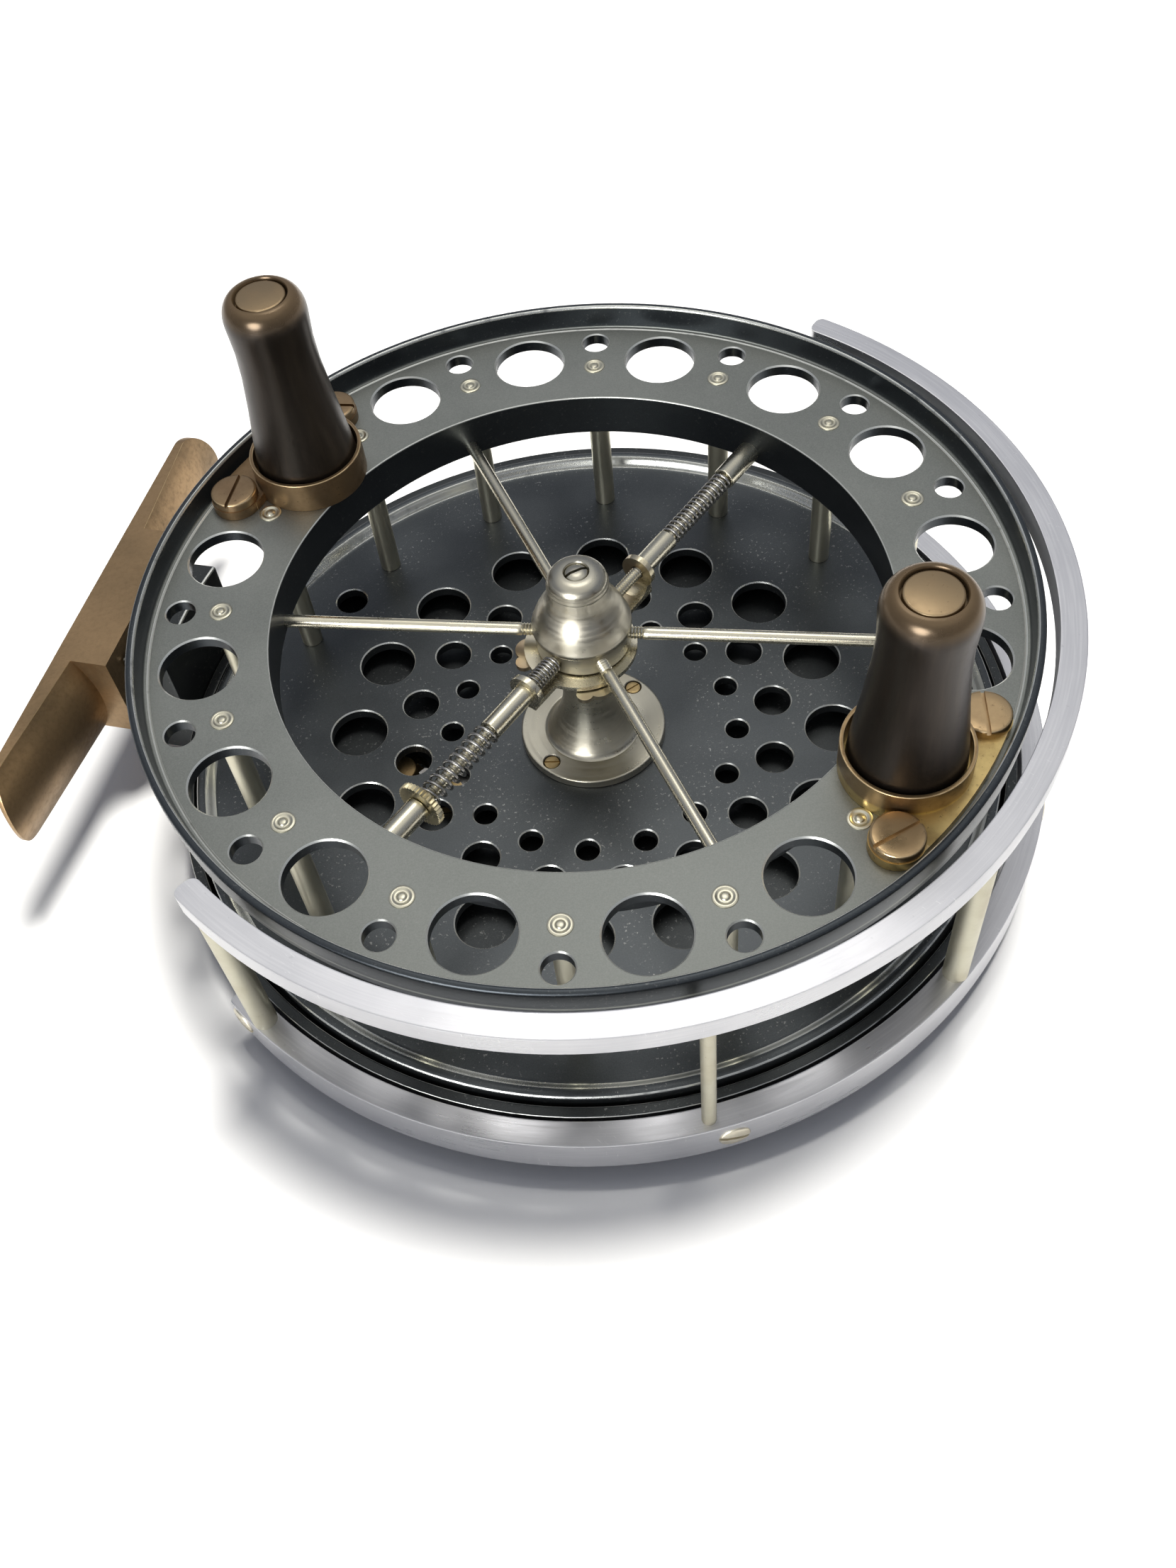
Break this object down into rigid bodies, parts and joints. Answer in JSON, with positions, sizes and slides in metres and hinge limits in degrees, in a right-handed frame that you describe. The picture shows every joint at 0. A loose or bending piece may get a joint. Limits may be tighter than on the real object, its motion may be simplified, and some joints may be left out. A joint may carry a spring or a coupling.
{
  "type": "centrepin fishing reel",
  "caption": "Spoked centrepin reel: open perforated drum on a spindle, guard ring cage, back plate, rod foot, handles, drag and latch.",
  "frame": {"origin": "centre of the flat end of the back boss, on the drum axis", "axes": "+Z along the drum axis from the back plate to the handles; the reel lies on its back and the rod foot is on the -X side"},
  "size_m": [0.1249, 0.1069, 0.0575],
  "materials": {
    "dark_anodised": "satin dark anodised",
    "drum_anodised": "satin grey-green anodised, worn bright on the edges",
    "bright_aluminium": "polished, lightly scratched",
    "nickel_silver": "nickel silver, dulled",
    "steel": "polished",
    "brass": "patinated",
    "bronze": "brown patina, bright on the edges",
    "horn": "turned dark horn or ebonite, satin"
  },
  "bodies": {
    "frame": {"back_plate": "dark_anodised", "spindle": "steel", "back_boss": "nickel_silver", "rear_half_ring": "bright_aluminium", "front_guard_ring": "bright_aluminium", "guard_pillar_1": "nickel_silver", "guard_pillar_2": "nickel_silver", "guard_pillar_3": "nickel_silver", "guard_pillar_thin": "nickel_silver", "foot": "bronze", "foot_stand": "dark_anodised", "pawl_pin": "brass", "check_spring": "brass"},
    "drum": {"drum_front_flange": "drum_anodised", "drum_rear_flange": "drum_anodised", "drum_pillar_01": "nickel_silver", "drum_pillar_02": "nickel_silver", "drum_pillar_03": "nickel_silver", "drum_pillar_04": "nickel_silver", "drum_pillar_05": "nickel_silver", "drum_pillar_06": "nickel_silver", "drum_pillar_07": "nickel_silver", "drum_pillar_08": "nickel_silver", "drum_pillar_09": "nickel_silver", "drum_pillar_10": "nickel_silver", "drum_pillar_11": "nickel_silver", "drum_pillar_12": "nickel_silver", "drum_pillar_13": "nickel_silver", "drum_pillar_14": "nickel_silver", "drum_pillar_15": "nickel_silver", "drum_pillar_16": "nickel_silver", "drum_boss": "nickel_silver", "bearing_bush_lower": "brass", "bearing_bush_upper": "brass", "hub": "nickel_silver", "hub_cap": "nickel_silver", "cap_screw": "nickel_silver", "ratchet_wheel": "steel", "spoke_1": "nickel_silver", "spoke_2": "nickel_silver", "spoke_3": "nickel_silver", "spoke_4": "nickel_silver", "tension_rod": "nickel_silver", "release_rod": "nickel_silver", "tension_spring": "steel", "drag_return_spring": "steel", "release_spring": "steel", "handle_plate_1": "brass", "handle_plate_2": "brass", "handle_pin_1": "bronze", "handle_pin_2": "bronze"},
    "handle_1": {"handle_barrel_1": "horn"},
    "handle_2": {"handle_barrel_2": "horn"},
    "spring_nut": {"tension_nut": "brass"},
    "drag": {"drag_plate": "nickel_silver", "tension_sleeve": "nickel_silver"},
    "latch": {"latch_plate": "nickel_silver", "release_sleeve": "nickel_silver"},
    "check_switch": {"check_button": "brass"},
    "check_arm": {"check_pawl": "steel"}
  },
  "joints": [
    {"name": "drum_spin", "type": "hinge", "parent": "frame", "child": "drum", "pos_m": [0, 0, 0.0084], "axis": [0, 0, 1], "continuous": true},
    {"name": "handle_1_spin", "type": "hinge", "parent": "drum", "child": "handle_1", "pos_m": [-0.03075, 0.02757, 0.0315], "axis": [0, 0, 1], "continuous": true},
    {"name": "handle_2_spin", "type": "hinge", "parent": "drum", "child": "handle_2", "pos_m": [0.03075, -0.02757, 0.0315], "axis": [0, 0, 1], "continuous": true},
    {"name": "tension_nut_travel", "type": "slide", "parent": "drum", "child": "spring_nut", "axis": [0.6674, 0.7447, 0], "range_m": [0, 0.004], "deforming": ["tension_spring"]},
    {"name": "drag_slide", "type": "slide", "parent": "drum", "child": "drag", "axis": [0.6674, 0.7447, 0], "range_m": [0, 0.0003], "stiffness_N_per_m": 400, "deforming": ["drag_return_spring"]},
    {"name": "latch_slide", "type": "slide", "parent": "drum", "child": "latch", "axis": [0.6674, 0.7447, 0], "range_m": [0, 0.0012], "stiffness_N_per_m": 500, "deforming": ["release_spring"]},
    {"name": "check_switch_slide", "type": "slide", "parent": "frame", "child": "check_switch", "axis": [1, 0, 0], "range_m": [0, 0.0014]},
    {"name": "check_arm_pivot", "type": "hinge", "parent": "frame", "child": "check_arm", "pos_m": [-0.0185, -0.005, 0.0055], "axis": [0, 0, 1], "range_deg": [-15, 0.5]}
  ],
  "couplings": [
    {"joint": "check_arm_pivot", "follows": "check_switch_slide", "rad_per_m": -178.27}
  ]
}
